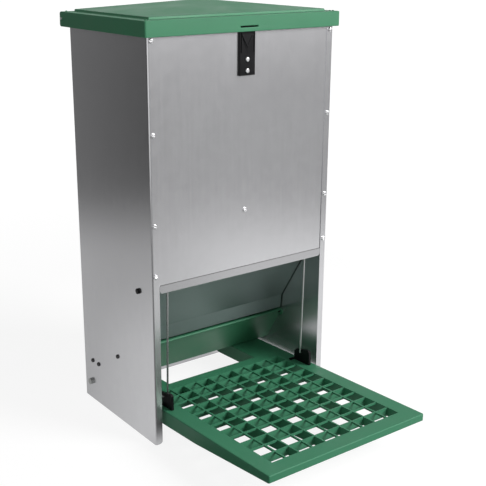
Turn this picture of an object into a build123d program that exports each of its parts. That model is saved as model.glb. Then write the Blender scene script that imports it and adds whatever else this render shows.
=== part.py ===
# Automatic poultry feeder: sheet steel hopper, moulded treadle, feed flap, trough and hinged lid.
# Units are millimetres, +Z is up, the treadle points to -Y.
# The treadle is drawn raised and the flap closed, as the feeder stands with no bird on it.
import os
from math import cos, radians, sin

from build123d import *

os.makedirs("parts", exist_ok=True)

# housing of folded galvanised sheet
housing_w = 330.0
housing_d = 220.0
panel_top_z = 620.0
sheet_t = 1.0
fold_r = 3.0
flange_w = 12.0
foot_round_r = 5.0
mouth_top_z = 240.4
hem_h = 12.9
hem_corner_r = 6.0
back_bottom_z = 2.0
panel_fold_gap = 0.3

# feed flap and the shaft it turns on
flap_axis_y = 38.9
flap_axis_drop = 3.3
axle_r = 3.0
axle_end_gap = 0.2
flap_side_gap = 2.0
flap_tip_lift = 3.5
flap_lip_h = 24.0
flap_lip_lean = 2.6
flap_bend_back = 22.1
flap_bend_drop = 28.1
lever_r = 28.0
lever_start_deg = 21.6
lever_t = 2.5
lever_half_h = 5.0
lever_hub_r = 8.0
lever_boss_w = 5.0
lever_end = 3.7
slot_in = 2.6
slot_out = 2.0
slot_gap = 0.6
spring_arm_r = 17.0
bush_cap_r = 4.2
bush_cap_h = 3.4
bush_neck_r = 3.9
bush_collar_r = 7.0
bush_bore_gap = 0.05

# return springs
spring_seat_drop = 43.0
spring_seat_h = 13.0
spring_seat_half_w = 7.0
spring_seat_t = 1.2
wire_r = 0.6
coil_r = 4.0
coil_turns = 14
stop_ball_r = 2.2

# treadle
treadle_side_gap = 18.5
treadle_front_y = -248.5
treadle_top_z0 = 51.0
treadle_slope = 0.0459
pivot_from_back = 22.3
pivot_z = 30.5
pivot_bolt_r = 3.0
hex_across_corners = 11.54
bolt_head_h = 4.0
nut_h = 6.0
nut_in = 14.0
bolt_past_nut = 2.0
spacer_r = 6.0
treadle_wall = 2.6
treadle_plate = 3.0
treadle_rim_r = 1.6
grid_border = 26.5
grid_cols = 10
grid_rows = 12
crossbar_w = 21.0
crossbar_back_y = 84.0
arm_w = 60.0
rib_t = 2.6
shallow_rib_h = 2.7
boss_r = 11.4
skirt_low_y = 3.0
skirt_bend_y = -77.0
skirt_low_z = 27.4

# lift rods and their clips
rod_r = 1.5
rod_bend_r = 2.4
rod_from_edge = 14.8
rod_low_y = 17.5
rod_low_z = 67.5
clip_from_edge = 12.5
clip_t = 4.0
clip_front_y = -3.0
clip_back_y = 35.0
clip_front_h = 22.0
clip_back_h = 16.0
tongue_in = 7.0

# trough
trough_rim_y = 109.0
trough_rim_z = 111.0
trough_floor_z = 47.0
trough_wall = 2.5
trough_back_rise = 14.0
trough_front_run = 37.0
trough_side_gap = 0.3

# sloping floor of the hopper
baffle_top_z = 343.0
baffle_low_z = 192.0
baffle_from_back = 34.0
baffle_side_gap = 0.3

# lid
lid_over_front = 7.0
lid_over_side = 7.0
lid_over_back = 16.0
lid_drop = 15.0
lid_skirt_h = 22.0
lid_wall = 2.5
lid_step_in = 16.5
lid_step_h = 3.4
lid_crown_h = 15.0
lid_tilt_deg = 0.6
pad_gap = 0.3
slot_w = 31.2
slot_h = 2.1
slot_drop = 8.0
hinge_behind = 9.0
hinge_drop = 5.5
hinge_r = 2.0
hinge_rod_out = 2.5
bracket_w = 20.0
bracket_t = 1.5
bracket_in = 55.0
bracket_ear = 3.8
bracket_room = 3.0
bracket_drop = 50.0
bracket_plate_h = 30.0
ear_drop = 36.0

# latch
latch_w = 27.6
latch_x = 0.5
latch_len = 78.0
latch_over = 1.0
latch_t = 3.6
tongue_cut_w = 1.2
tongue_top_drop = 17.0
tongue_len = 28.0
vee_top_drop = 20.0
vee_half_w = 10.5
vee_h = 18.0
sink_depth = 0.8

# screws
screw_in = 6.1
screw_r = 1.55
screw_bore_r = 1.6
sheet_hole_r = 2.0
head_r = 3.4
head_h = 2.2
front_screw_drop = 20.0
second_screw_drop = 146.8
back_screw_drop = 30.0
baffle_screw_rise = 0.4
low_screw_rise = 28.1
mouth_screw_drop = 60.4
foot_screw_rise = 38.0
ear_screw_out = 1.0
ear_screw_drop = 4.0
trough_screw_in = 26.8
trough_screw_pitch = 19.4
trough_screw_rise = 23.0
latch_screw_rise = 6.7
latch_screw_pitch = 16.1
bracket_screw_drop = 28.0
bracket_screw_pitch = 14.0

# places worked out from the sizes above
half_w = housing_w / 2
inner_x = half_w - sheet_t
back_in_y = housing_d - 2 * sheet_t
flap_axis_z = mouth_top_z - flap_axis_drop
spring_seat_z = baffle_top_z - spring_seat_drop
treadle_w = housing_w - 2 * treadle_side_gap
half_treadle = treadle_w / 2
pivot_y = housing_d - pivot_from_back
half_grid = half_treadle - grid_border
grid_pitch_x = 2 * half_grid / grid_cols
grid_y0 = treadle_front_y + grid_border
grid_y1 = crossbar_back_y - crossbar_w
grid_pitch_y = (grid_y1 - grid_y0) / grid_rows
half_gap = half_treadle - arm_w
rod_x = half_treadle - rod_from_edge
clip_x = half_treadle - clip_from_edge
lever_x = rod_x - rod_r - slot_gap - lever_t / 2
spring_x = lever_x - lever_t / 2 - 4 * wire_r
baffle_low_y = housing_d - baffle_from_back
lid_bottom_z = panel_top_z - lid_drop
slot_z = panel_top_z - slot_drop
hinge_y = housing_d + hinge_behind
hinge_z = panel_top_z - hinge_drop
bracket_x = half_w - bracket_in
latch_bottom_z = panel_top_z - latch_len + latch_over
baffle_screw_z = baffle_top_z + baffle_screw_rise
front_screw_z = [
    panel_top_z - front_screw_drop,
    panel_top_z - second_screw_drop,
    baffle_screw_z,
    mouth_top_z + low_screw_rise,
]
back_screw_z = [
    panel_top_z - back_screw_drop,
    panel_top_z - second_screw_drop,
    baffle_screw_z,
    mouth_top_z - mouth_screw_drop,
    back_bottom_z + foot_screw_rise,
]
side_screw_spots = [
    (trough_rim_y - ear_screw_out, trough_rim_z - ear_screw_drop),
    (back_in_y - trough_screw_in - trough_screw_pitch, trough_floor_z + trough_screw_rise),
    (back_in_y - trough_screw_in, trough_floor_z + trough_screw_rise),
]
latch_screw_z = [latch_bottom_z + latch_screw_rise + latch_screw_pitch, latch_bottom_z + latch_screw_rise]
bracket_screw_z = [
    panel_top_z - bracket_screw_drop,
    panel_top_z - bracket_screw_drop - bracket_screw_pitch,
]


def box(x0, x1, y0, y1, z0, z1):
    # block between two corners
    b = Box(x1 - x0, y1 - y0, z1 - z0, align=(Align.MIN, Align.MIN, Align.MIN))
    return b.moved(Location((x0, y0, z0)))


def prism_x(points, x0, x1):
    # outline of (y, z) points pulled along X from x0 to x1
    face = make_face(Polyline(*[(x0, p[0], p[1]) for p in points], close=True))
    return extrude(face, amount=x1 - x0, dir=(1, 0, 0))


def rod_x_dir(x0, x1, y, z, r):
    # cylinder along X
    c = Cylinder(r, x1 - x0, align=(Align.CENTER, Align.CENTER, Align.MIN))
    return c.moved(Location((x0, y, z), (0, 90, 0)))


def rod_y_dir(x, y0, y1, z, r):
    # cylinder along Y
    c = Cylinder(r, y1 - y0, align=(Align.CENTER, Align.CENTER, Align.MIN))
    return c.moved(Location((x, y0, z), (-90, 0, 0)))


def rod_z_dir(x, y, z0, z1, r):
    # cylinder along Z
    c = Cylinder(r, z1 - z0, align=(Align.CENTER, Align.CENTER, Align.MIN))
    return c.moved(Location((x, y, z0)))


def span_x(side, xa, xb):
    # lowest and highest x of a stretch given for the right side, on the side asked for
    return sorted((side * xa, side * xb))


def one(shape):
    # the single solid of a result
    found = shape.solids()
    if len(found) != 1:
        raise ValueError("expected one solid, got %d" % len(found))
    return found[0]


def pair(solid):
    # the left piece and its mirror image on the right
    return [solid, one(mirror(solid, about=Plane.YZ))]


# housing
def side_panel():
    # the left one: a channel with a flange in front and one behind
    x0 = -half_w
    outer = box(x0, x0 + flange_w, 0, housing_d, 0, panel_top_z)
    corner_lines = [e for e in outer.edges().filter_by(Axis.Z) if e.center().X < x0 + 1]
    outer = fillet(corner_lines, fold_r)
    inner = box(x0 + sheet_t, x0 + 2 * flange_w, sheet_t, housing_d - sheet_t, -5, panel_top_z + 5)
    in_lines = [e for e in inner.edges().filter_by(Axis.Z) if e.center().X < x0 + 2 * sheet_t]
    inner = fillet(in_lines, fold_r - sheet_t)
    panel = outer - inner
    # the flanges end in a rounded corner at the floor
    foot = [e for e in panel.edges().filter_by(Axis.Y)
            if e.center().X > x0 + flange_w - 0.5 and e.center().Z < 1]
    panel = fillet(foot, foot_round_r)
    # holes for the shaft bush, the treadle bolt, and the fixings
    panel -= rod_x_dir(x0 - 5, x0 + 5, flap_axis_y, flap_axis_z, bush_neck_r + 0.05)
    panel -= rod_x_dir(x0 - 5, x0 + 5, pivot_y, pivot_z, pivot_bolt_r + 0.1)
    for y, z in side_screw_spots:
        panel -= rod_x_dir(x0 - 5, x0 + 5, y, z, sheet_hole_r)
    for z in front_screw_z:
        panel -= rod_y_dir(x0 + screw_in, -2, 2 * sheet_t + 2, z, sheet_hole_r)
    for z in back_screw_z:
        panel -= rod_y_dir(x0 + screw_in, back_in_y - 2, housing_d + 2, z, sheet_hole_r)
    return one(panel)


def front_panel():
    # flat sheet behind the flanges, its lower edge folded outward and up again
    x1 = half_w - fold_r - panel_fold_gap
    fold_z = mouth_top_z + sheet_t
    sheet = box(-x1, x1, sheet_t, 2 * sheet_t, fold_z, panel_top_z)
    hem_x = half_w - flange_w - 0.4
    fold = box(-hem_x, hem_x, 0.05, sheet_t - 0.05, fold_z, mouth_top_z + hem_h)
    upper = [e for e in fold.edges().filter_by(Axis.Y) if e.center().Z > mouth_top_z + hem_h - 1]
    fold = fillet(upper, 1.5)
    roll = rod_x_dir(-hem_x, hem_x, sheet_t + 0.05, fold_z, sheet_t)
    roll = roll & box(-half_w, half_w, -1, 2 * sheet_t, mouth_top_z - 1, fold_z)
    panel = sheet + fold + roll
    # the fold's two lower corners are cut round
    r = hem_corner_r
    for sx in (-1, 1):
        middle_x, middle_z = sx * (hem_x - r), mouth_top_z + r
        xa, xb = span_x(sx, hem_x - r, hem_x + 0.2)
        corner = box(xa, xb, -1, 3 * sheet_t, mouth_top_z - 1, middle_z)
        panel -= corner - rod_y_dir(middle_x, -2, 4 * sheet_t, middle_z, r)
    for sx in (-1, 1):
        for z in front_screw_z:
            panel -= rod_y_dir(sx * (half_w - screw_in), 0, 5, z, screw_bore_r)
    panel -= rod_y_dir(0, 0, 5, baffle_top_z, screw_bore_r)
    for z in latch_screw_z:
        panel -= rod_y_dir(latch_x, 0, 5, z, screw_bore_r)
    return one(panel)


def back_panel():
    # flat sheet inside the rear flanges
    x1 = half_w - fold_r - panel_fold_gap
    panel = box(-x1, x1, back_in_y, housing_d - sheet_t, back_bottom_z, panel_top_z)
    for sx in (-1, 1):
        for z in back_screw_z:
            panel -= rod_y_dir(sx * (half_w - screw_in), back_in_y - 3, housing_d + 1, z, screw_bore_r)
        for z in bracket_screw_z:
            panel -= rod_y_dir(sx * bracket_x, back_in_y - 3, housing_d + 1, z, screw_bore_r)
    return one(panel)


def hopper_baffle():
    # sloping floor of the hopper, screwed to the front panel along its upper flange
    t = sheet_t
    y0 = 2 * sheet_t
    bend_z = baffle_top_z - 10
    flange_z = baffle_top_z + 12
    plate = prism_x([
        (y0, flange_z),
        (y0 + t, flange_z),
        (y0 + t, bend_z),
        (baffle_low_y, baffle_low_z),
        (baffle_low_y, baffle_low_z - 1.3 * t),
        (y0 + 0.2 * t, bend_z - 1.1 * t),
        (y0, bend_z - 0.8 * t),
    ], -inner_x + baffle_side_gap, inner_x - baffle_side_gap)
    # side flanges lie on the side panels
    side = [
        (y0 + t, bend_z - 0.5 * t),
        (baffle_low_y, baffle_low_z - 0.5 * t),
        (baffle_low_y, baffle_low_z + 12),
        (y0 + t, bend_z + 12),
    ]
    x1 = inner_x - baffle_side_gap
    plate += prism_x(side, -x1, -x1 + t)
    plate += prism_x(side, x1 - t, x1)
    # stiffening lip along the lower edge
    plate += box(-x1, x1, baffle_low_y, baffle_low_y + t, baffle_low_z - 1.3 * t, baffle_low_z + 8)
    for sx in (-1, 1):
        plate -= rod_y_dir(sx * (half_w - screw_in), 0, 5, front_screw_z[2], screw_bore_r)
    plate -= rod_y_dir(0, 0, 5, baffle_top_z, screw_bore_r)
    return one(plate)


# feed flap with its shaft and levers
def strip_outline(points, t):
    # outline of a bent strip of thickness t whose lower side runs through the points
    upper = []
    last = len(points) - 1
    for i, p in enumerate(points):
        a = points[max(i - 1, 0)]
        b = points[min(i + 1, last)]
        if 0 < i < last:
            d1 = (Vector(*p) - Vector(*a)).normalized()
            d2 = (Vector(*b) - Vector(*p)).normalized()
            m = Vector(-d1.Y - d2.Y, d1.X + d2.X)
            m = m * (2.0 / m.dot(m))
        else:
            d = (Vector(*b) - Vector(*a)).normalized()
            m = Vector(-d.Y, d.X)
        upper.append((p[0] + t * m.X, p[1] + t * m.Y))
    return list(points) + upper[::-1]


def feed_flap():
    # folded sheet whose upper edge is rolled round the shaft
    x1 = inner_x - flap_side_gap
    t = sheet_t
    slope = Vector(flap_bend_back, -flap_bend_drop).normalized()
    out = Vector(-slope.Y, slope.X)
    r_in = axle_r + 0.02
    axis = Vector(flap_axis_y, flap_axis_z)
    start = axis + out * (r_in + 0.1) - slope * 0.6
    bend = axis + Vector(flap_bend_back, -flap_bend_drop) + out * (0.2 * r_in)
    tip = Vector(trough_rim_y, trough_rim_z + flap_tip_lift)
    knee = tip + Vector(-flap_lip_lean, flap_lip_h)
    line = [(v.X, v.Y) for v in (start, bend, knee, tip)]
    sheet = prism_x(strip_outline(line, t), -x1, x1)
    roll = rod_x_dir(-x1, x1, axis.X, axis.Y, r_in + t)
    roll -= rod_x_dir(-x1 - 1, x1 + 1, axis.X, axis.Y, r_in)
    # the roll stays open towards the sheet
    open_r = 3 * axle_r
    corners = (axis, axis + out * open_r, axis + (slope + out) * open_r, axis + slope * open_r)
    roll -= prism_x([(v.X, v.Y) for v in corners], -x1 - 1, x1 + 1)
    flap = sheet + roll
    # cut-outs beside the levers
    for sx in (-1, 1):
        xa, xb = span_x(sx, lever_x + lever_t / 2 + 1.2, lever_x - lever_t / 2 - lever_boss_w - 1.2)
        flap -= box(xa, xb, axis.X - 8, axis.X + 12, axis.Y - 14, axis.Y + 8)
    return one(flap)


def flap_axle():
    # shaft across the housing, its ends in the two bushes
    return one(rod_x_dir(-half_w + axle_end_gap, half_w - axle_end_gap, flap_axis_y, flap_axis_z, axle_r))


def axle_bush():
    # plastic plug in the side panel that carries the shaft
    x0 = -half_w
    b = rod_x_dir(x0 - bush_cap_h, x0, flap_axis_y, flap_axis_z, bush_cap_r)
    rim = [e for e in b.edges() if e.center().X < x0 - 2]
    b = fillet(rim, 1.0)
    b += rod_x_dir(x0 - 0.5, x0 + sheet_t, flap_axis_y, flap_axis_z, bush_neck_r)
    b += rod_x_dir(x0 + sheet_t, x0 + sheet_t + 1.6, flap_axis_y, flap_axis_z, bush_collar_r)
    b -= rod_x_dir(x0, x0 + 6, flap_axis_y, flap_axis_z, axle_r + bush_bore_gap)
    return one(b)


def lever_point(r, across=0.0):
    # point of the closed flap's lever at radius r, so far to one side of its middle line
    a = radians(lever_start_deg)
    y = flap_axis_y - r * cos(a) + across * sin(a)
    z = flap_axis_z + r * sin(a) + across * cos(a)
    return (y, z)


def lever_strip(r0, r1, half_h, x0, x1):
    # bar along the lever's middle line
    corners = [(r0, -half_h), (r0, half_h), (r1, half_h), (r1, -half_h)]
    return prism_x([lever_point(r, h) for r, h in corners], x0, x1)


def flap_lever():
    # flat lever on the shaft with a slot for the rod and a hole for the spring
    x0 = -lever_x - lever_t / 2
    x1 = x0 + lever_t
    w = rod_r + slot_gap
    lever = rod_x_dir(x0, x1, flap_axis_y, flap_axis_z, lever_hub_r)
    lever += lever_strip(0, lever_r + w + lever_end, lever_half_h, x0, x1)
    for r in (lever_r - slot_in, lever_r + slot_out):
        y, z = lever_point(r)
        lever -= rod_x_dir(x0 - 1, x1 + 1, y, z, w)
    lever -= lever_strip(lever_r - slot_in, lever_r + slot_out, w, x0 - 1, x1 + 1)
    y, z = lever_point(spring_arm_r)
    lever -= rod_x_dir(x0 - 1, x1 + 1, y, z, wire_r + 0.7)
    # boss beside the lever with a bore for the shaft
    lever += rod_x_dir(x1, x1 + lever_boss_w, flap_axis_y, flap_axis_z, 2 * axle_r)
    lever -= rod_x_dir(x0 - 1, x1 + lever_boss_w + 1, flap_axis_y, flap_axis_z, axle_r + 0.01)
    return one(lever)


# return springs
def return_spring():
    # tension spring from the lever up to its seat, beside the lever's inner face
    x = -spring_x
    y, z = lever_point(spring_arm_r)
    top = spring_seat_z
    z0 = z + 9
    z1 = top - 8
    pitch = (z1 - z0) / coil_turns
    helix = Helix(pitch=pitch, height=z1 - z0, radius=coil_r).moved(Location((x, y, z0)))
    a = helix @ 0
    b = helix @ 1
    hook_x = x - 4 * wire_r
    hook = [(hook_x - lever_t - 2 * wire_r, y, z), (hook_x, y, z), (x - 0.4, y, z + 1.6)]
    hook.append((x + 1.5, y, z + 6))
    low = Spline(hook + [a], tangents=[(1, 0, 0), helix % 0])
    high = Spline(
        [b, (x + 1.5, y, z1 + 3), (x, y, top - 2), (x, y, top + 2.2)],
        tangents=[helix % 1, (0, 0, 1)])
    path = Wire([low.edge(), helix.edge(), high.edge()])
    profile = Plane(origin=path @ 0, z_dir=path % 0) * Circle(wire_r)
    spring = sweep(profile, path=path, is_frenet=False)
    # stop ball formed on the upper end, above the seat
    spring += Sphere(stop_ball_r).moved(Location((x, y, top + stop_ball_r + 0.8)))
    return one(spring)


def spring_seat():
    # bent tab on the front panel's inner side that holds the upper end of the spring
    x = -spring_x
    y = lever_point(spring_arm_r)[0]
    y0 = 2 * sheet_t
    top = spring_seat_z + 1
    half = spring_seat_half_w
    tab = box(x - half, x + half, y0, y0 + spring_seat_t, top - spring_seat_h, top)
    tab += box(x - half, x + half, y0, y + half, top - spring_seat_t, top)
    tab -= rod_z_dir(x, y, top - 4, top + 2, 2 * wire_r)
    return one(tab)


# lift rods and their clips
def lift_rod():
    # bent wire from the treadle's clip up to the flap's lever
    y, z = lever_point(lever_r)
    out_x = -(clip_x + clip_t + 2.5)
    in_x = -(lever_x - lever_t / 2 - 3.0)
    path = FilletPolyline(
        (out_x, rod_low_y, rod_low_z), (-rod_x, rod_low_y, rod_low_z), (-rod_x, y, z), (in_x, y, z),
        radius=rod_bend_r)
    profile = Plane(origin=path @ 0, z_dir=path % 0) * Circle(rod_r)
    return one(sweep(profile, path=path))


def rod_clip():
    # upright plate clipped into the treadle's edge, with the eye for the rod
    x1 = -clip_x
    x0 = x1 - clip_t
    ya, yb = clip_front_y, clip_back_y
    base = treadle_top(0) - 0.9
    plate = prism_x([
        (ya, treadle_top(ya)),
        (yb, treadle_top(yb)),
        (yb, treadle_top(yb) + clip_back_h),
        (yb - 1.5 * clip_t, treadle_top(yb) + clip_back_h + 1.375 * clip_t),
        (ya + clip_t, treadle_top(ya) + clip_front_h + 0.875 * clip_t),
        (ya, treadle_top(ya) + clip_front_h),
    ], x0, x1)
    # tongue through the slot in the treadle, with its snap below
    plate += box(x0 + 0.5, x1 - 0.5, ya + tongue_in, yb - tongue_in, base - 4.8, base + 2)
    plate += box(x0 - 0.8, x1 + 0.8, ya + tongue_in + 2, yb - tongue_in - 2, base - 6.6, base - 4.6)
    # small foot behind
    plate += prism_x([
        (yb - 0.5, treadle_top(yb - 0.5)),
        (yb + 4, treadle_top(yb + 4)),
        (yb + 4, treadle_top(yb + 4) + 2.2),
        (yb - 0.5, treadle_top(yb - 0.5) + 2.2),
    ], x0, x1 + 7.5)
    plate -= rod_x_dir(x0 - 2, x1 + 2, rod_low_y, rod_low_z, rod_r + 0.06)
    return one(plate)


# treadle
def treadle_top(y):
    # height of the treadle's upper face at depth y
    return treadle_top_z0 - treadle_slope * y


def treadle_bottom(y):
    # height of the skirt's lower edge at depth y, which rises towards the front in two steps
    if y > skirt_low_y:
        return skirt_low_z - (y - skirt_low_y) * treadle_slope
    bend_z = skirt_low_z + (skirt_low_y - skirt_bend_y) * 0.0588
    if y > skirt_bend_y:
        return skirt_low_z + (skirt_low_y - y) * 0.0588
    return bend_z + (skirt_bend_y - y) * 0.1125


def slab(x0, x1, y0, y1, down_from, down_to):
    # piece under the upper face between two depths below it
    return prism_x([
        (y0, treadle_top(y0) - down_from),
        (y1, treadle_top(y1) - down_from),
        (y1, treadle_top(y1) - down_to),
        (y0, treadle_top(y0) - down_to),
    ], x0, x1)


def deep_wall(x0, x1, y0, y1):
    # upright wall from the upper face down to the level of the skirt's edge
    ys = [y0] + [v for v in (skirt_bend_y, skirt_low_y) if y0 < v < y1] + [y1]
    pts = [(v, treadle_bottom(v)) for v in ys]
    pts += [(y1, treadle_top(y1) - 0.5), (y0, treadle_top(y0) - 0.5)]
    return prism_x(pts, x0, x1)


def room_under(x0, x1, y0, y1):
    # room under the treadle's plate, open below
    return prism_x([
        (y0, treadle_top(y0) - treadle_plate),
        (y1, treadle_top(y1) - treadle_plate),
        (y1, -60),
        (y0, -60),
    ], x0, x1)


def treadle_outline():
    # side view of the moulding, from the front edge to the round end at the pivot
    r = boss_r
    y0 = treadle_front_y
    low = [(v, treadle_bottom(v)) for v in (y0, skirt_bend_y, skirt_low_y, pivot_y - 0.7 * r)]
    boss = [(pivot_y - 0.35 * r, pivot_z - 0.93 * r), (pivot_y, pivot_z - r)]
    boss += [(pivot_y + r * sin(radians(a)), pivot_z - r * cos(radians(a))) for a in (32, 64, 90, 116, 148)]
    return low + boss + [(pivot_y, treadle_top(pivot_y)), (y0, treadle_top(y0))]


def treadle():
    # one moulding: frame with skirt, grid, and two arms that reach back to the pivot
    hw = half_treadle
    y0 = treadle_front_y
    w = treadle_wall
    body = prism_x(treadle_outline(), -hw, hw)
    front_lines = [e for e in body.edges().filter_by(Axis.Z) if e.center().Y < y0 + 1]
    body = fillet(front_lines, 2.5)
    # gap between the arms
    body -= box(-half_gap, half_gap, crossbar_back_y, housing_d + 100, -50, 200)
    upper = [f for f in body.faces() if f.normal_at().Z > 0.9]
    top_lines = max(upper, key=lambda f: f.area).edges()
    rim = [e for e in top_lines if abs(e.center().X) > hw - 0.1 or e.center().Y < y0 + 3]
    body = fillet(rim, treadle_rim_r)
    # hollow underside: front border, crossbar, side borders, arms and the ends beside the bosses
    arm_hollow_end = pivot_y - boss_r - 4.6
    rooms = [
        (-half_grid - w, half_grid + w, y0 + w, grid_y0 - w),
        (-half_gap - w, half_gap + w, grid_y1 + w, crossbar_back_y - w),
    ]
    for sx in (-1, 1):
        rooms.append(span_x(sx, hw - w, half_grid + w) + [y0 + w, arm_hollow_end])
        rooms.append(span_x(sx, half_grid + w + 1, half_gap + w) + [grid_y1 + w, arm_hollow_end])
        rooms.append(span_x(sx, hw - 14, half_gap + w) + [arm_hollow_end - 1, pivot_y + 60])
    for room in rooms:
        body -= room_under(*room)
    # grid opening, then its ribs: every second one is deep
    g = half_grid
    body -= box(-g, g, grid_y0, grid_y1, -50, 200)
    ribs = []
    half_t = rib_t / 2
    shallow_to = 0.5 + shallow_rib_h
    for i in range(1, grid_cols):
        x = -g + i * grid_pitch_x
        if i % 2 == 0:
            ribs.append(deep_wall(x - half_t, x + half_t, grid_y0 - 0.5, grid_y1 + 0.5))
        else:
            ribs.append(slab(x - half_t, x + half_t, grid_y0 - 0.5, grid_y1 + 0.5, 0.5, shallow_to))
    for j in range(1, grid_rows):
        y = grid_y0 + j * grid_pitch_y
        if j % 2 == 1:
            ribs.append(deep_wall(-hw + 1, hw - 1, y - half_t, y + half_t))
        else:
            ribs.append(slab(-g - 0.5, g + 0.5, y - half_t, y + half_t, 0.5, shallow_to))
    body = body.fuse(*ribs)
    # slots for the rod clips
    for sx in (-1, 1):
        xa, xb = span_x(sx, clip_x + 0.4, clip_x + clip_t - 0.4)
        ya, yb = clip_front_y + tongue_in - 0.1, clip_back_y - tongue_in + 0.1
        body -= box(xa, xb, ya, yb, treadle_top(0) - 3 * treadle_plate, treadle_top(0) + 5)
    # bores for the pivot bolts
    for sx in (-1, 1):
        xa, xb = span_x(sx, half_gap - 5, hw + 5)
        body -= rod_x_dir(xa, xb, pivot_y, pivot_z, pivot_bolt_r + 0.06)
    return one(body)


# treadle pivot
def hexagon_x(x, length, toward):
    # hexagonal prism along X around the pivot
    plane = Plane(origin=(x, pivot_y, pivot_z), z_dir=(toward, 0, 0))
    return extrude(plane * RegularPolygon(hex_across_corners / 2, 6), length)


def pivot_bolt():
    # hexagon bolt through the panel, the spacer and the arm
    bolt = hexagon_x(-half_w, bolt_head_h, -1)
    end_x = -half_treadle + nut_in + nut_h + bolt_past_nut
    return one(bolt + rod_x_dir(-half_w - 1, end_x, pivot_y, pivot_z, pivot_bolt_r))


def pivot_nut():
    # lock nut on the inner side of the arm
    x = -half_treadle + nut_in
    nut = hexagon_x(x, nut_h, 1)
    return one(nut - rod_x_dir(x - 1, x + nut_h + 1, pivot_y, pivot_z, pivot_bolt_r))


def pivot_spacer():
    # sleeve between the side panel and the arm
    xa = -inner_x
    xb = -half_treadle - 0.4
    s = rod_x_dir(xa, xb, pivot_y, pivot_z, spacer_r)
    return one(s - rod_x_dir(xa - 1, xb + 1, pivot_y, pivot_z, pivot_bolt_r + 0.02))


# trough
def trough():
    # moulded tub behind the flap, screwed between the side panels
    x1 = inner_x - trough_side_gap
    w = trough_wall
    front_low_y = trough_rim_y + trough_front_run
    back_y = back_in_y - 1.0
    rim_in_y = trough_rim_y + w + 0.4
    outer = [
        (trough_rim_y, trough_rim_z - 3),
        (trough_rim_y, trough_rim_z),
        (back_y, trough_rim_z + trough_back_rise),
        (back_y, trough_floor_z + 10),
        (back_y - 10, trough_floor_z),
        (front_low_y, trough_floor_z),
    ]
    inner = [
        (rim_in_y, trough_rim_z - 3),
        (rim_in_y, trough_rim_z + 40),
        (back_y - w, trough_rim_z + 40),
        (back_y - w, trough_floor_z + 11),
        (back_y - 11, trough_floor_z + w),
        (front_low_y + w, trough_floor_z + w),
    ]
    tub = prism_x(outer, -x1, x1) - prism_x(inner, -x1 + w, x1 - w)
    # rolled front rim
    tub += rod_x_dir(-x1, x1, trough_rim_y + 0.4, trough_rim_z - 2.2, 2.2)
    for sx in (-1, 1):
        # ear for the front screw
        y, z = side_screw_spots[0]
        xa, xb = span_x(sx, x1 - w, x1)
        tub += rod_x_dir(xa, xb, y + 1.0, z - 1.5, 6.0)
        for y, z in side_screw_spots:
            xa, xb = span_x(sx, x1 - 8, x1 + 1)
            tub -= rod_x_dir(xa, xb, y, z, screw_bore_r)
    return one(tub)


# screws
def pan_screw(length):
    # pan head screw along +Y, its head in front of y = 0, with a cross slot
    head = rod_y_dir(0, -head_h, 0, 0, head_r)
    edge = [e for e in head.edges() if e.center().Y < -head_h + 0.2]
    head = fillet(edge, 0.6 * head_h)
    reach = 0.56 * head_r
    head -= box(-0.5, 0.5, -head_h - 1, -head_h + 0.8, -reach, reach)
    head -= box(-reach, reach, -head_h - 1, -head_h + 0.8, -0.5, 0.5)
    return one(head + rod_y_dir(0, -0.5, length, 0, screw_r))


def put(shape, x, y, z, rz=0.0):
    # a copy turned about Z and set down
    return shape.moved(Location((x, y, z), (0, 0, rz)))


# lid
def crown(ax, ya, yb, z, h):
    # low four-sided roof over a rectangle
    pts = [(-ax, ya, z), (ax, ya, z), (ax, yb, z), (-ax, yb, z)]
    top = (0, (ya + yb) / 2, z + h)
    faces = [Face(Wire.make_polygon(pts, close=True))]
    for k in range(4):
        faces.append(Face(Wire.make_polygon([pts[k], pts[(k + 1) % 4], top], close=True)))
    return Solid(Shell(faces))


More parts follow.
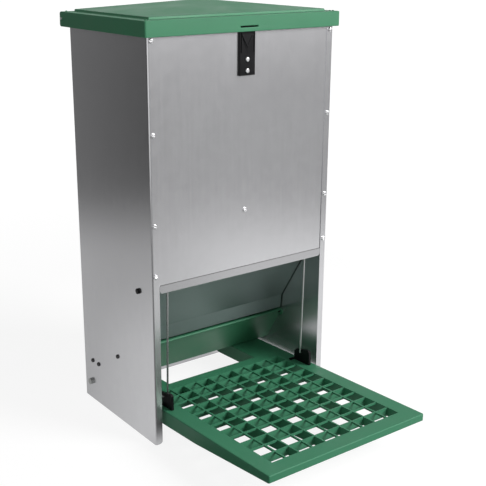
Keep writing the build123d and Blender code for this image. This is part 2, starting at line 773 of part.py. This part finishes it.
def lid():
    # moulded lid: skirt, rim, raised centre that rises to a low point
    xo = half_w + lid_over_side
    y0 = -lid_over_front
    y1 = housing_d + lid_over_back
    z0 = lid_bottom_z
    z1 = z0 + lid_skirt_h
    w = lid_wall
    body = box(-xo, xo, y0, y1, z0, z1)
    upright = [e for e in body.edges().filter_by(Axis.Z) if e.center().Y < 0]
    body = fillet(upright, 3.0)
    rear = [e for e in body.edges().filter_by(Axis.X) if e.center().Y > y1 - 1]
    body = fillet(rear, 4.0)
    # raised centre
    ax, ay0, ay1 = xo - lid_step_in, y0 + lid_step_in, y1 - lid_step_in
    step_z = z1 + lid_step_h
    body += box(-ax, ax, ay0, ay1, z1 - 1, step_z)
    body += crown(ax, ay0, ay1, step_z, lid_crown_h)
    # room inside
    body -= box(-xo + w, xo - w, y0 + w, y1 - w, z0 - 5, z1 - w)
    body -= box(-ax + w, ax - w, ay0 + w, ay1 - w, z1 - w - 1, step_z - w)
    body -= crown(ax - w, ay0 + w, ay1 - w, step_z - w, lid_crown_h)
    # the rear wall is cut short so that the lid can swing back past the housing
    rear_in_y = y1 - w - 1
    body -= box(-xo + w, xo - w, rear_in_y, y1 + 5, z0 - 5, z0 + 9)
    # the rear wall is open round the two hinge brackets
    room = bracket_w / 2 + bracket_room
    for sx in (-1, 1):
        middle = sx * bracket_x
        body -= box(middle - room, middle + room, rear_in_y, y1 + 5, z0 - 5, z1 - w)
    # pads that rest over the housing's front edge
    for sx in (-1, 1):
        for px in (0.36 * half_w, 0.79 * half_w):
            middle = sx * px
            body += box(middle - 6, middle + 6, y0 + w - 0.5, 6.0, panel_top_z + pad_gap, z1 - w + 0.5)
    # slot for the latch
    xa, xb = latch_x - slot_w / 2, latch_x + slot_w / 2
    body -= box(xa, xb, y0 - 5, y0 + w + 2, slot_z - slot_h / 2, slot_z + slot_h / 2)
    # small pips on the corners of the rim
    for sx in (-1, 1):
        for px, py in ((xo - 7.0, y0 + 8.5), (xo - 11.5, y0 + 10.5), (xo - 7.0, y1 - 9.0)):
            body += rod_z_dir(sx * px, py, z1 - 1, z1 + 1.2, 1.4)
    # the shut lid leans back a little about its lower front edge
    body = one(body).moved(Location((0, -y0, -z0)))
    body = body.moved(Location(Rotation(-lid_tilt_deg, 0, 0))).moved(Location((0, y0, z0)))
    body -= rod_x_dir(-xo - 5, xo + 5, hinge_y, hinge_z, hinge_r + 0.05)
    return one(body)


def hinge_rod():
    # rod through both sides of the lid and the two brackets
    xo = half_w + lid_over_side
    r = rod_x_dir(-xo - hinge_rod_out, xo + hinge_rod_out, hinge_y, hinge_z, hinge_r)
    ends = [e for e in r.edges() if abs(e.center().X) > xo]
    return one(fillet(ends, 0.3 * hinge_r))


def hinge_bracket():
    # folded ears on the back panel that carry the hinge rod
    xa, xb = -bracket_x - bracket_w / 2, -bracket_x + bracket_w / 2
    ya = housing_d - sheet_t
    yb = hinge_y + bracket_ear
    plate_z = panel_top_z - bracket_drop
    ear_z = panel_top_z - ear_drop
    b = box(xa, xb, ya, ya + bracket_t, plate_z, plate_z + bracket_plate_h)
    b += box(xa, xa + bracket_t, ya, yb, ear_z, hinge_z + bracket_ear)
    b += box(xb - bracket_t, xb, ya, yb, ear_z, hinge_z + bracket_ear)
    tips = [e for e in b.edges().filter_by(Axis.X) if e.center().Y > yb - 0.8]
    b = fillet(tips, 0.9 * bracket_ear)
    for z in bracket_screw_z:
        b -= rod_y_dir(-bracket_x, ya - 1, ya + 3, z, sheet_hole_r)
    b -= rod_x_dir(xa - 1, xb + 1, hinge_y, hinge_z, hinge_r + 0.02)
    return one(b)


# latch
def latch():
    # moulded strip with a nose that snaps behind the slot of the lid
    xa, xb = latch_x - latch_w / 2, latch_x + latch_w / 2
    y1 = sheet_t
    y0 = y1 - latch_t
    strip = box(xa, xb, y0, y1, latch_bottom_z, panel_top_z + latch_over)
    edges = [e for e in strip.edges().filter_by(Axis.Z) if e.center().Y < y0 + 0.5]
    strip = fillet(edges, 0.8)
    # the nose below the slot and a cut on each side that leaves a springy tongue
    nose_y = -lid_over_front + lid_wall + 0.5
    strip += prism_x([(y0 + 0.5, slot_z - 5), (nose_y, slot_z - 0.8), (nose_y, slot_z + 0.8),
                      (y0 + 0.5, slot_z + 1.2)], xa + 2, xb - 2)
    cut_top = panel_top_z - tongue_top_drop
    for x in (xa + 2.4, xb - 2.4):
        xl, xr = x - tongue_cut_w / 2, x + tongue_cut_w / 2
        strip -= box(xl, xr, y0 - 2, y1 - 1.2, cut_top - tongue_len, cut_top)
    # v-shaped stiffener on the face
    top = panel_top_z - vee_top_drop
    vee = [(-vee_half_w, top), (0, top - vee_h), (vee_half_w, top),
           (vee_half_w - 2.5, top), (0, top - 0.75 * vee_h), (-vee_half_w + 2.5, top)]
    face = make_face(Polyline(*[(latch_x + p[0], y0 + 0.2, p[1]) for p in vee], close=True))
    strip += extrude(face, amount=1.0, dir=(0, -1, 0))
    for z in latch_screw_z:
        strip -= rod_y_dir(latch_x, y0 - 1, y1 + 1, z, sheet_hole_r)
        strip -= rod_y_dir(latch_x, y0 - 1, y0 + sink_depth, z, head_r + 1.0)
    return one(strip)


# assembly
screw = pan_screw(7.0)
long_screw = pan_screw(9.0)
left_side_panel, right_side_panel = pair(side_panel())
nodes = {
    "left_side_panel": [left_side_panel],
    "right_side_panel": [right_side_panel],
    "front_panel": [front_panel()],
    "back_panel": [back_panel()],
    "hopper_baffle": [hopper_baffle()],
    "feed_flap": [feed_flap()],
    "flap_axle": [flap_axle()],
    "axle_bushes": pair(axle_bush()),
    "flap_levers": pair(flap_lever()),
    "return_springs": pair(return_spring()),
    "spring_seats": pair(spring_seat()),
    "lift_rods": pair(lift_rod()),
    "rod_clips": pair(rod_clip()),
    "treadle": [treadle()],
    "pivot_bolts": pair(pivot_bolt()),
    "pivot_nuts": pair(pivot_nut()),
    "pivot_spacers": pair(pivot_spacer()),
    "trough": [trough()],
    "lid": [lid()],
    "hinge_rod": [hinge_rod()],
    "hinge_brackets": pair(hinge_bracket()),
    "latch": [latch()],
    "baffle_screw": [put(screw, 0, sheet_t, baffle_top_z)],
    "latch_screws": [put(long_screw, latch_x, sheet_t - latch_t + sink_depth, z) for z in latch_screw_z],
}
screw_x = half_w - screw_in
bracket_face_y = housing_d - sheet_t + bracket_t
nodes["front_screws"] = [put(screw, s * screw_x, 0, z) for s in (-1, 1) for z in front_screw_z]
nodes["back_screws"] = [put(screw, s * screw_x, housing_d, z, 180) for s in (-1, 1) for z in back_screw_z]
nodes["trough_screws"] = [
    put(screw, s * half_w, y, z, s * 90) for s in (-1, 1) for y, z in side_screw_spots]
nodes["bracket_screws"] = [
    put(screw, s * bracket_x, bracket_face_y, z, 180) for s in (-1, 1) for z in bracket_screw_z]

# the origin is under the middle of the whole feeder, on the floor
everything = Compound(children=[s.moved(Location((0, 0, 0))) for group in nodes.values() for s in group])
span = everything.bounding_box()
shift = -(span.min.Y + span.max.Y) / 2
print("shift", round(shift, 4), "size", [round(v, 2) for v in span.size], "z", span.min.Z)

for name, group in nodes.items():
    moved = [s.moved(Location((0, shift, 0))) for s in group]
    shape = moved[0] if len(moved) == 1 else Compound(children=moved)
    shape.label = name
    export_step(shape, "parts/" + name + ".step")
    print(name, len(moved), round(sum(s.volume for s in moved), 1))
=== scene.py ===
# %% [markdown]
# # A treadle poultry feeder, dressed for its picture
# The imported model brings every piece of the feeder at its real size: folded galvanised panels, a
# moulded treadle with its grid, a feed flap behind two lift rods, a trough and a hinged lid.
# This lesson gives each piece its finish, remodels the moulded pieces with the soft edges that a
# real mould leaves, and sets up the floor, the lamps and the camera.
# Everything is in metres, +Z is up and the treadle points to -Y.

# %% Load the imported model
from math import cos, radians, sin

import bpy
from mathutils import Matrix, Vector


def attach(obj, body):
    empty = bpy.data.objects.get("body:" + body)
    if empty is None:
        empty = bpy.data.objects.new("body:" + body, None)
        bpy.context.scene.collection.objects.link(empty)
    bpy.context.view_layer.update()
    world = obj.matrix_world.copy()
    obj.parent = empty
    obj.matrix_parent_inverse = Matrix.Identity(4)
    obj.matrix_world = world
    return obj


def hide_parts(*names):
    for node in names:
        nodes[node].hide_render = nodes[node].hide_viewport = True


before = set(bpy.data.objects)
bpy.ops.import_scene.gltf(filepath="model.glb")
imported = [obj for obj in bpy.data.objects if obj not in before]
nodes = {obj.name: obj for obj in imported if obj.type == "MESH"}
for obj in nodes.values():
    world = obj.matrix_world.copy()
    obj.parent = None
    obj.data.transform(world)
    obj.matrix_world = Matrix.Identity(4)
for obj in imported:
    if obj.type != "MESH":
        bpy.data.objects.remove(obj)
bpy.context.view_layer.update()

mm = 0.001

# %% [markdown]
# ## Writing shader maths as plain expressions
# A material in Blender is a tree of nodes. A formula such as 0.3 + 0.1 * noise takes one Math
# node for each sign, which is slow to lay out by hand. A small class can hold one output of a
# node and add the Math nodes when Python meets a +, -, *, > or <, so that the formula stays
# readable.
# Colours go through a Mix node instead, because a Math node would turn them grey.


# %% A wire that knows how to do sums
class Wire:
    """One output of a node in a material."""

    def __init__(self, tree, socket=None):
        self.tree = tree
        self.socket = socket

    def node(self, kind, settings=None, sockets=None, out=0):
        made = self.tree.nodes.new(kind)
        for name, value in (settings or {}).items():
            setattr(made, name, value)
        for name, value in (sockets or {}).items():
            if isinstance(value, Wire):
                self.tree.links.new(value.socket, made.inputs[name])
            else:
                made.inputs[name].default_value = value
        return Wire(self.tree, made.outputs[out])

    def sum(self, operation, first, second):
        return self.node("ShaderNodeMath", {"operation": operation}, {0: first, 1: second})

    def __add__(self, other):
        return self.sum("ADD", self, other)

    def __radd__(self, other):
        return self.sum("ADD", other, self)

    def __sub__(self, other):
        return self.sum("SUBTRACT", self, other)

    def __rsub__(self, other):
        return self.sum("SUBTRACT", other, self)

    def __mul__(self, other):
        return self.sum("MULTIPLY", self, other)

    def __rmul__(self, other):
        return self.sum("MULTIPLY", other, self)

    def __gt__(self, other):
        return self.sum("GREATER_THAN", self, other)

    def __lt__(self, other):
        return self.sum("LESS_THAN", self, other)


print("sums on a wire: + - * > <")


# %% [markdown]
# ## What every finish starts from
# A finish is painted in the piece's own coordinates, so its grain keeps the same size on every
# piece, whatever its shape. Small helpers cover what a surface needs: a noise of a given size in
# millimetres, a mix of two colours, and a bump that tilts the surface a little. The last ones
# measure directions, for the floor and the room.


# %% Helpers for the finishes
def new_finish(name, **plain):
    # a Principled surface, its plain numbers, and the pen that draws its nodes
    material = bpy.data.materials.new(name)
    material.use_nodes = True
    surface = material.node_tree.nodes["Principled BSDF"]
    for socket, value in plain.items():
        surface.inputs[socket.replace("_", " ")].default_value = value
    return material, surface, Wire(material.node_tree)


def place(pen):
    # position on the piece, in metres
    return pen.node("ShaderNodeTexCoord", out="Object")


def stretched(pen, scale):
    # the same position with each direction scaled, which stretches what is drawn on it
    return pen.node("ShaderNodeMapping", {"vector_type": "POINT"}, {"Vector": place(pen), "Scale": scale})


def noise(pen, size_mm, detail=3.0, vector=None):
    # soft cloudy values from 0 to 1 whose blots are about so many millimetres wide
    sockets = {"Vector": vector or place(pen), "Scale": 1000.0 / size_mm, "Detail": detail}
    return pen.node("ShaderNodeTexNoise", {}, sockets, out="Fac")


def ramp(pen, value, low, high, from_low=0.0, from_high=1.0):
    # a value moved from one range to another and kept inside it
    sockets = {"Value": value, "From Min": from_low, "From Max": from_high, "To Min": low, "To Max": high}
    return pen.node("ShaderNodeMapRange", {"clamp": True}, sockets)


def blend(pen, factor, first, second):
    # from the first colour to the second
    sockets = {"Factor": factor, "A": first, "B": second}
    return pen.node("ShaderNodeMix", {"data_type": "RGBA"}, sockets, out="Result")


def link(surface, socket, wire):
    wire.tree.links.new(wire.socket, surface.inputs[socket])


def bump(pen, surface, height, strength, distance_mm):
    sockets = {"Height": height, "Strength": strength, "Distance": distance_mm * mm}
    link(surface, "Normal", pen.node("ShaderNodeBump", {}, sockets, out="Normal"))


def shades(tone, dark, light):
    # the two ends that a tone wanders between
    return (*[dark * c for c in tone], 1.0), (*[light * c for c in tone], 1.0)


def along(pen, vector, direction):
    # how far a vector points in a direction
    return pen.node("ShaderNodeVectorMath", {"operation": "DOT_PRODUCT"},
                    {0: vector, 1: direction}, out="Value")


def length(pen, vector):
    return pen.node("ShaderNodeVectorMath", {"operation": "LENGTH"}, {0: vector}, out="Value")


def plus(pen, first, second):
    # two vectors added
    return pen.node("ShaderNodeVectorMath", {"operation": "ADD"}, {0: first, 1: second}, out="Vector")


print("helpers ready, one millimetre is", mm, "m")


# %% [markdown]
# ## Galvanised sheet
# The housing is sheet steel dipped in zinc. Zinc freezes in flat crystals, the spangle, of which
# each one shines a little differently, and rolling leaves very fine streaks along the sheet.
# A picture of real zinc could be wrapped round the panels, but it would blur in a close view.
# Here a Voronoi texture gives the crystals, and a noise stretched along Z gives the streaks.
# Old zinc carries a dull film that scatters light, so Metallic stays a little below 1. Without
# that share the inside of the hopper, which sees only dark metal, would turn black.


# %% The zinc finish
spangles_per_m = 95.0
roll_stretch = (1.0, 1.0, 0.02)
rough_spread = 0.012
edge_band = 0.4 * mm
# painted shade on the front's hem: the share and colour that darken the fold below its top, and a band
# along its top that is dark as bare steel and as painted shade
hem_painted_shade_share = 0.26
hem_painted_shade_zinc = (0.10, 0.105, 0.10, 1.0)
bare_steel_and_shade = (0.2, 0.2, 0.2, 1.0)
bare_roughness = 0.4


def galvanised(name, tone, rough, metal, cut_edge=None):
    material, surface, pen = new_finish(name, Metallic=metal, Roughness=rough)
    crystal = pen.node("ShaderNodeTexVoronoi", {"feature": "F1"},
                       {"Vector": place(pen), "Scale": spangles_per_m, "Randomness": 1.0}, out="Color")
    grey = pen.node("ShaderNodeSeparateColor", {}, {"Color": crystal}, out="Red")
    cloud = noise(pen, 70.0, 2.0)
    streak = noise(pen, 1.6, 2.0, stretched(pen, roll_stretch))
    shade = 0.2 * grey + 0.15 * cloud + 0.65 * streak
    colour = blend(pen, shade, *shades(tone, 0.94, 1.06))
    roughness = ramp(pen, shade, rough - rough_spread, rough + rough_spread, 0.3, 0.7)
    if cut_edge:
        # a narrow level band at the sheet's cut edge, dark as bare steel and as painted shade under the
        # fold's top edge, and below it the fold darkened by painted shade, in place of the tilted hem's
        # dimmer reflection
        height = pen.node("ShaderNodeSeparateXYZ", {}, {"Vector": place(pen)}, out="Z")
        bare_and_shade_band = (height > cut_edge - edge_band) * (height < cut_edge + edge_band)
        hem_painted_shade = (height < cut_edge) * hem_painted_shade_share
        colour = blend(pen, hem_painted_shade, colour, hem_painted_shade_zinc)
        colour = blend(pen, bare_and_shade_band, colour, bare_steel_and_shade)
        roughness = roughness + bare_and_shade_band * bare_roughness
    link(surface, "Base Color", colour)
    link(surface, "Roughness", roughness)
    bump(pen, surface, streak + 0.15 * noise(pen, 2.5), 0.05, 0.06)
    return material


hem_top = 253.3 * mm
zinc_tone = (0.60, 0.60, 0.615)
zinc_panel = galvanised("galvanised_sheet", zinc_tone, 0.24, 0.87)
zinc_front = galvanised("galvanised_front", zinc_tone, 0.24, 0.87, hem_top)
# the flap, its levers and the spring seats get a darker, greenish zinc: painted shade of the hopper's
# inside and a painted reflection of the green treadle
zinc_painted_shade_inside = galvanised("galvanised_inside_painted_shade", (0.25, 0.31, 0.30), 0.5, 1.0)
zinc_floor = galvanised("galvanised_floor", zinc_tone, 0.4, 0.7)
print("zinc finishes:", zinc_panel.name, zinc_front.name, zinc_painted_shade_inside.name, zinc_floor.name)

# %% [markdown]
# ## Green moulded plastic
# The treadle, the trough and the lid are moulded in much the same green, and the trough's is made
# darker as painted shade from the housing over it. The black clips, plugs and latch share the recipe.
# A fine spark-eroded grain in the mould leaves a satin surface, and rubbed edges and dust make it a
# little uneven. The colour is kept on the piece, and all the shine comes from the lamps and the
# roughness.


# %% The green finish
grain_mm = 0.7
grain = 0.12


def moulded(name, tone, rough, gloss):
    material, surface, pen = new_finish(name, Roughness=rough, Specular_IOR_Level=gloss)
    cloud = noise(pen, 45.0, 3.0)
    speck = noise(pen, 1.3, 2.0)
    shade = 0.7 * cloud + 0.3 * speck
    link(surface, "Base Color", blend(pen, shade, *shades(tone, 0.88, 1.1)))
    link(surface, "Roughness", ramp(pen, cloud, rough - 0.06, rough + 0.06, 0.3, 0.7))
    bump(pen, surface, noise(pen, grain_mm, 1.0), grain, 0.08)
    return material


green_tone = (0.046, 0.218, 0.116)
lid_tone = (0.046, 0.226, 0.113)
# painted shade: the trough's green is darker because the housing shades it
trough_painted_shade_tone = (0.036, 0.172, 0.088)
green_treadle = moulded("green_plastic", green_tone, 0.55, 0.36)
green_lid = moulded("green_lid", lid_tone, 0.5, 0.42)
green_trough_painted_shade = moulded("green_trough_painted_shade", trough_painted_shade_tone, 0.5, 0.42)
black_moulded = moulded("black_plastic", (0.004, 0.004, 0.005), 0.42, 0.16)
print("moulded finishes:", green_treadle.name, green_lid.name, green_trough_painted_shade.name, black_moulded.name)

# %% [markdown]
# ## Screws and wire
# Most screws and nuts are zinc plated and brighter than the sheet, with small marks from the
# driver. The trough's screws are dark, and the pivot bolts are worn. The shaft,
# rods and springs are drawn wire with a fine speckle. One recipe with other numbers serves all.


# %% Bright metal finishes
def bright_metal(name, tone, rough, speck_mm):
    material, surface, pen = new_finish(name, Metallic=1.0, Roughness=rough)
    speck = noise(pen, speck_mm, 3.0)
    link(surface, "Base Color", blend(pen, speck, *shades(tone, 0.8, 1.0)))
    link(surface, "Roughness", ramp(pen, speck, rough - 0.08, rough + 0.1, 0.3, 0.7))
    bump(pen, surface, speck, 0.08, 0.05)
    return material


zinc_screw = bright_metal("zinc_screws", (0.82, 0.82, 0.83), 0.26, 1.5)
dark_screw = bright_metal("dark_screws", (0.06, 0.06, 0.06), 0.18, 1.5)
worn_bolt = bright_metal("worn_bolts", (0.36, 0.37, 0.36), 0.26, 1.5)
drawn_wire = bright_metal("steel_wire", (0.62, 0.62, 0.62), 0.3, 0.8)
print("metal finishes:", zinc_screw.name, dark_screw.name, worn_bolt.name, drawn_wire.name)

# %% [markdown]
# ## Which piece gets which finish
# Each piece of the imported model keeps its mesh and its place. Only the material in its slot
# changes, so one short table is enough.

# %% Give each piece its finish
finish_of = {
    "left_side_panel": zinc_panel,
    "right_side_panel": zinc_panel,
    "front_panel": zinc_front,
    "back_panel": zinc_panel,
    "hopper_baffle": zinc_floor,
    "feed_flap": zinc_painted_shade_inside,
    "flap_levers": zinc_painted_shade_inside,
    "spring_seats": zinc_painted_shade_inside,
    "hinge_brackets": zinc_panel,
    "treadle": green_treadle,
    "trough": green_trough_painted_shade,
    "lid": green_lid,
    "axle_bushes": black_moulded,
    "rod_clips": black_moulded,
    "latch": black_moulded,
    "pivot_spacers": black_moulded,
    "flap_axle": drawn_wire,
    "return_springs": drawn_wire,
    "lift_rods": drawn_wire,
    "hinge_rod": drawn_wire,
    "trough_screws": dark_screw,
    "pivot_bolts": worn_bolt,
}
for name, piece in nodes.items():
    piece.material_slots[0].material = finish_of.get(name, zinc_screw)
print("finished pieces:", len(nodes))

# %% [markdown]
# ## Soft edges on the mouldings
# A mould can't leave a knife edge: the edges of the lid, the treadle's frame and the latch are
# rounded by some tenths of a millimetre, and that line catches the light.
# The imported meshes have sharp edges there. Each is copied, its loose triangles are merged and
# the flat ones are joined. Edges between two faces of some size then get a bevel weight, and a
# Bevel modifier rounds those alone, because round a small hole or pip it would tangle.
# Large flat faces are split into triangles again and their normals weighted by area, so that the
# rounding doesn't shade across them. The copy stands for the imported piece, which stays behind it
# for the physics. The treadle's grid stays sharp, because rounding made faces overlap there, and
# so does the lid's latch slot.


# %% Choosing the edges to round
corner_angle = radians(35)
nowhere = ((0, 0, 0), (0, 0, 0))


def mark_edges(mesh, least_face_mm2, keep_sharp):
    # weight 1 on corners between two faces of that size, outside a box that stays sharp
    beside = {}
    for face in mesh.polygons:
        for key in face.edge_keys:
            beside.setdefault(key, []).append(face)
    weight = mesh.attributes.new("bevel_weight_edge", "FLOAT", "EDGE")
    marked = 0
    for edge in mesh.edges:
        pair = beside.get(tuple(sorted(edge.vertices)), [])
        if len(pair) != 2 or min(face.area for face in pair) < least_face_mm2 * mm * mm:
            continue
        middle = (mesh.vertices[edge.vertices[0]].co + mesh.vertices[edge.vertices[1]].co) / 2
        inside = all(low < c < high for low, c, high in zip(keep_sharp[0], middle, keep_sharp[1]))
        if pair[0].normal.angle(pair[1].normal) > corner_angle and not inside:
            weight.data[edge.index].value = 1.0
            marked += 1
    return marked


print("corners from", round(corner_angle, 3), "rad up can be rounded")


# %% A copy with rounded edges
merge_distance = 0.01 * mm
flat_angle = radians(0.5)
smooth_angle = radians(40)
rounding_steps = 2
split_from_corners = 5


def with_soft_edges(name, node, round_mm, body, least_face_mm2, keep_sharp):
    bpy.ops.object.select_all(action="DESELECT")
    source = nodes[node]
    piece = source.copy()
    piece.data = source.data.copy()
    piece.name = name
    bpy.context.collection.objects.link(piece)
    piece.hide_render = False
    bpy.context.view_layer.objects.active = piece
    piece.select_set(True)
    bpy.ops.object.mode_set(mode="EDIT")
    bpy.ops.mesh.select_all(action="SELECT")
    bpy.ops.mesh.customdata_custom_splitnormals_clear()
    bpy.ops.mesh.remove_doubles(threshold=merge_distance)
    bpy.ops.mesh.dissolve_limited(angle_limit=flat_angle)
    bpy.ops.object.mode_set(mode="OBJECT")
    marked = mark_edges(piece.data, least_face_mm2, keep_sharp)
    rounding = piece.modifiers.new("rounding", "BEVEL")
    rounding.width = round_mm * mm
    rounding.segments = rounding_steps
    rounding.limit_method = "WEIGHT"
    rounding.use_clamp_overlap = False
    bpy.ops.object.modifier_apply(modifier="rounding")
    split = piece.modifiers.new("split", "TRIANGULATE")
    split.min_vertices = split_from_corners
    bpy.ops.object.modifier_apply(modifier="split")
    bpy.ops.object.shade_smooth_by_angle(angle=smooth_angle)
    flat = piece.modifiers.new("flat_faces", "WEIGHTED_NORMAL")
    flat.keep_sharp = True
    bpy.ops.object.modifier_apply(modifier="flat_faces")
    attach(piece, body)
    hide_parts(node)
    print(name, "edges rounded:", marked, "faces:", len(piece.data.polygons))


# %% The mouldings
latch_slot = ((-0.018, -0.01, 0.618), (0.02, 0.006, 0.632))
with_soft_edges("lid_moulding", "lid", 1.0, "lid", 3.0, latch_slot)
grid = ((-0.124, -0.234, 0.0), (0.124, 0.072, 0.1))
with_soft_edges("treadle_moulding", "treadle", 0.5, "treadle", 3.0, grid)
with_soft_edges("latch_moulding", "latch", 0.3, "housing", 1.0, nowhere)

# %% [markdown]
# ## Floor and lamps
# The feeder stands on a floor that shows white and has no edge in the picture, before a white
# world. The floor's own colour is a plain grey that takes the soft shadow, and a glow that only
# some rays see makes it white for the camera.
# Shiny sheet looks like what stands round it. So the metal sees more than the camera does: a painted
# reflection of a pale table that fades out round the feeder, a darker room, the backdrop and a window,
# which glow only for glossy rays. Real softboxes and cards would do the same, but they would also light
# the plastic.


# %% Telling the rays apart
def ray(pen, kind):
    # 1 for rays of that kind, 0 for all others
    return pen.node("ShaderNodeLightPath", out="Is %s Ray" % kind)


def seen_directly(pen):
    # 1 for rays from the camera and for light through clear pieces
    return pen.sum("MAXIMUM", ray(pen, "Camera"), ray(pen, "Transmission"))


print("rays told apart: Camera and Transmission, Glossy")


# %% The floor
floor_side = 40.0
table_middle = (0.0, -0.14, 0.0)
table_r = 0.96
table_fade = 0.5
across = (0.6, -0.8, 0.0)
behind = (0.3, 0.95, 0.0)
to_window = (-0.74, -0.67, 0.0)
bpy.ops.object.select_all(action="DESELECT")
bpy.ops.mesh.primitive_plane_add(size=floor_side, location=(0, 0, 0))
floor = bpy.context.object
floor.name = "floor"
floor_paint, floor_surface, pen = new_finish("floor_white", Roughness=0.9)
floor_surface.inputs["Base Color"].default_value = (0.2, 0.2, 0.2, 1.0)
floor_surface.inputs["Specular IOR Level"].default_value = 0.0
floor_surface.inputs["Emission Strength"].default_value = 1.0
spot = place(pen)
away = length(pen, spot)
heading = pen.node("ShaderNodeVectorMath", {"operation": "NORMALIZE"}, {0: spot}, out="Vector")
from_table = length(pen, plus(pen, spot, table_middle))
window_side = ramp(pen, along(pen, heading, to_window), 0.0, 1.0, 0.75, 0.92)
backdrop_glow = ramp(pen, away, 0.86, 1.0, 0.8, 2.5)
# the painted reflection of the table: its glow to the right, to the left near the feeder, and behind it
right_glow = ramp(pen, along(pen, heading, (1.0, 0.0, 0.0)), 0.24, 0.8, 0.4, 0.58)
left_glow = ramp(pen, along(pen, spot, (1.5, 1.0, 0.0)), 0.35, 0.03, -0.2, 0.05)
left_glow = left_glow * ramp(pen, away, 1.0, 0.3, 0.5, 0.85)
behind_glow = ramp(pen, along(pen, heading, (0.0, 1.0, 0.0)), 0.04, 0.2, -0.2, 0.2)
on_table = ramp(pen, from_table, 1.0, 0.0, table_r, table_r + table_fade)
near_glow = (right_glow + behind_glow + left_glow) * on_table
far_glow = ramp(pen, along(pen, spot, across), 0.0, 0.34, 2.2, 4.5)
far_glow = far_glow + ramp(pen, along(pen, heading, behind), 0.0, 0.22, 0.62, 0.738)
window_glow = window_side * ramp(pen, away, 0.0, 1.0, 1.2, 2.2)
painted_reflection_glow = near_glow * (1.0 - window_side) + far_glow + window_glow
link(floor_surface, "Emission Color",
     backdrop_glow * seen_directly(pen) + painted_reflection_glow * ray(pen, "Glossy"))
floor.data.materials.append(floor_paint)
print("floor:", floor_side, "m")

# %% The world behind it
world = bpy.data.worlds.new("studio")
bpy.context.scene.world = world
world.use_nodes = True
sky = Wire(world.node_tree)
background = world.node_tree.nodes["Background"]
level = 0.22
towards = sky.node("ShaderNodeTexCoord", out="Generated")
# painted reflection of the room, which only glossy rays see: brighter to the right, with the backdrop and
# a window whose lobe paints highlights on rounded edges
painted_room_reflection = ramp(sky, along(sky, towards, (0.6, -0.8, 0.1)), 0.18, 0.68, -1.0, 1.0)
painted_room_reflection = painted_room_reflection + ramp(sky, along(sky, towards, behind), 0.0, 0.5, 0.62, 0.9)
painted_room_reflection = painted_room_reflection + ramp(sky, along(sky, towards, (-0.72, -0.66, 0.22)), 0.0, 1.0, 0.85, 0.95)
link(background, "Strength",
     level + (1.0 - level) * seen_directly(sky) + (painted_room_reflection - level) * ray(sky, "Glossy"))
background.inputs["Color"].default_value = (1.0, 1.0, 1.0, 1.0)
print("world level:", level)


# %% Soft lamps
def softbox(name, place_m, aim_m, size_m, power):
    lamp = bpy.data.lights.new(name, "AREA")
    lamp.shape = "DISK"
    lamp.size = size_m
    lamp.energy = power
    box = bpy.data.objects.new(name, lamp)
    bpy.context.collection.objects.link(box)
    direction = Vector(aim_m) - Vector(place_m)
    aim = direction.to_track_quat("-Z", "Y").to_matrix().to_4x4()
    box.matrix_world = Matrix.Translation(place_m) @ aim
    return box


body_middle = (0.0, 0.0, 0.3)
lamps = [
    softbox("key", (1.5, -2.1, 1.65), body_middle, 1.6, 92.0),
    softbox("fill", (-2.2, -1.2, 1.4), body_middle, 1.6, 6.0),
    softbox("top", (-0.3, 0.6, 2.6), body_middle, 1.8, 3.0),
]
print("lamps:", [lamp.name for lamp in lamps])

# %% [markdown]
# ## The camera
# The camera stands left in front of the feeder and looks down at it a little. Its place, angles
# and lens follow from the way the upright edges and the treadle converge in the picture.

# %% Place the camera
eye = Vector((-0.8363, -1.0934, 0.7306))
azimuth = radians(-37.1448)
down = radians(17.6842)
roll = radians(0.4213)
ahead = Vector((-sin(azimuth) * cos(down), cos(azimuth) * cos(down), -sin(down)))
right = ahead.cross(Vector((0, 0, 1))).normalized()
up = right.cross(ahead)
right, up = cos(roll) * right + sin(roll) * up, cos(roll) * up - sin(roll) * right
turn = Matrix((right, up, -ahead)).transposed().to_4x4()
view = bpy.data.cameras.new("camera")
view.lens = 70.86
view.sensor_width = 36.0
camera = bpy.data.objects.new("camera", view)
bpy.context.collection.objects.link(camera)
camera.matrix_world = Matrix.Translation(eye) @ turn
bpy.context.scene.camera = camera
bpy.context.scene.view_settings.view_transform = "Standard"
print("camera at", [round(v, 3) for v in eye])
